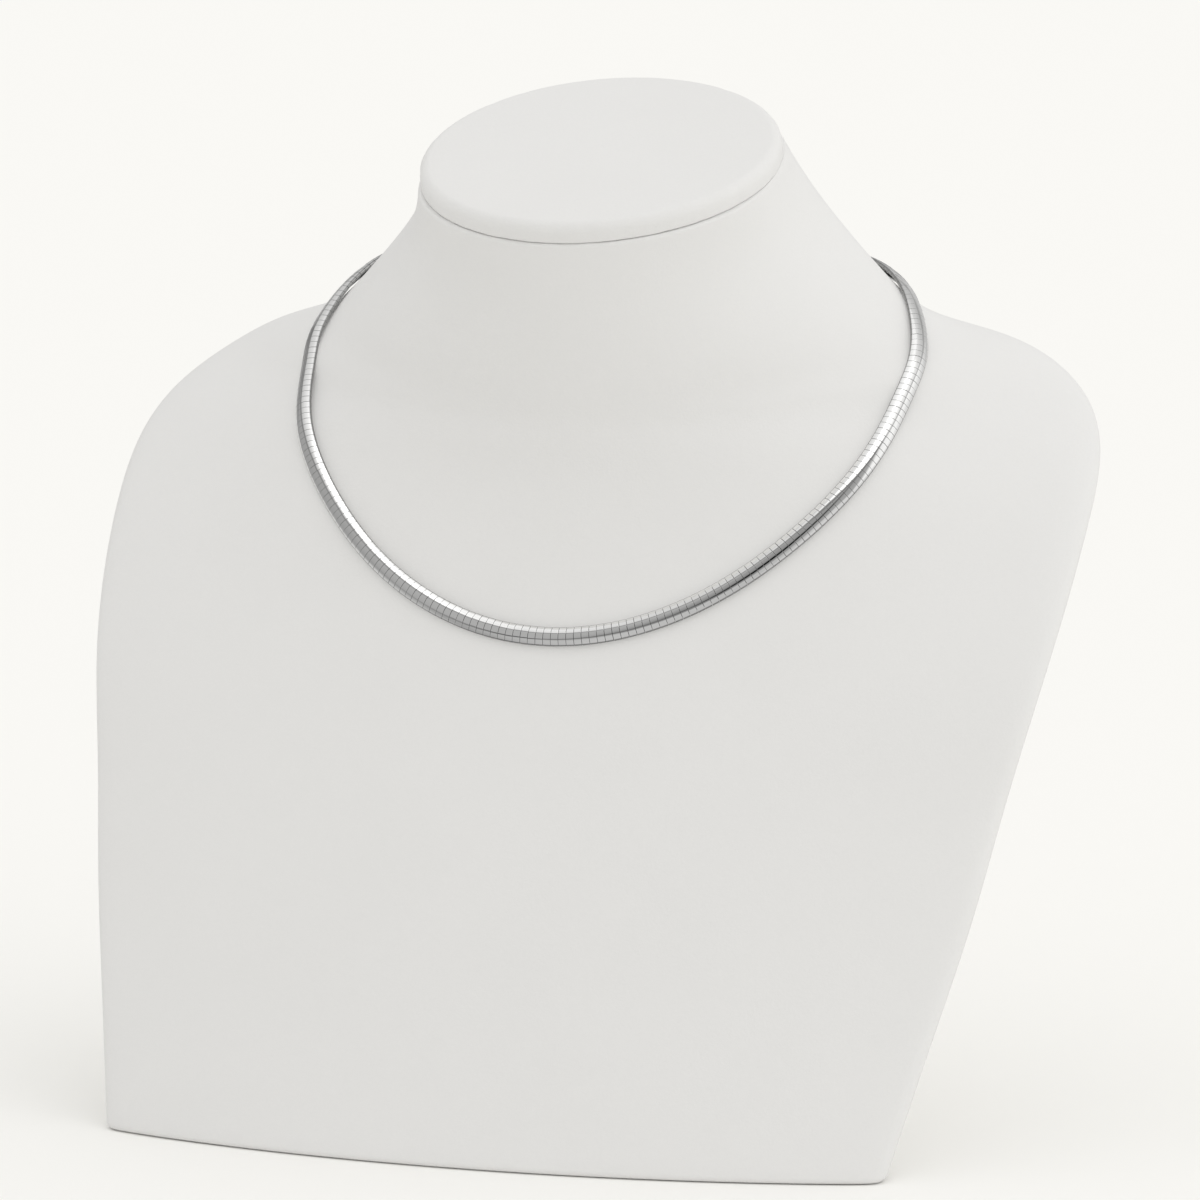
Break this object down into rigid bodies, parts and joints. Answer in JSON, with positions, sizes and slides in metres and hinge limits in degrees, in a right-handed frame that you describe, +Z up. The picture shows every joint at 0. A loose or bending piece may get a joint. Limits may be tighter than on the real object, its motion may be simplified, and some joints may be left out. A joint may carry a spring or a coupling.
{
  "type": "omega necklace on neck bust",
  "caption": "Flat domed omega necklace of short polished plates on a woven ribbon, lying closed round a plain white leatherette neck bust with a padded cap.",
  "frame": {"origin": "centre of the box round the whole part, on the flat base that the bust stands on", "axes": "+Z up, the chest and the front of the necklace face -Y, +X is to the right as seen from the front"},
  "size_m": [0.2444, 0.1598, 0.2419],
  "materials": {
    "leatherette": "matt white leatherette with a fine grain",
    "cap_leatherette": "matt white leatherette, padded",
    "polished_silver": "mirror-bright silver plating",
    "woven_silver": "fine woven silver wire",
    "clasp_silver": "polished silver plating"
  },
  "bodies": {
    "root": {"bust_body": "leatherette", "neck_cap": "cap_leatherette", "dome_plates": "polished_silver", "mesh_ribbon": "woven_silver", "clasp": "clasp_silver"}
  },
  "joints": []
}
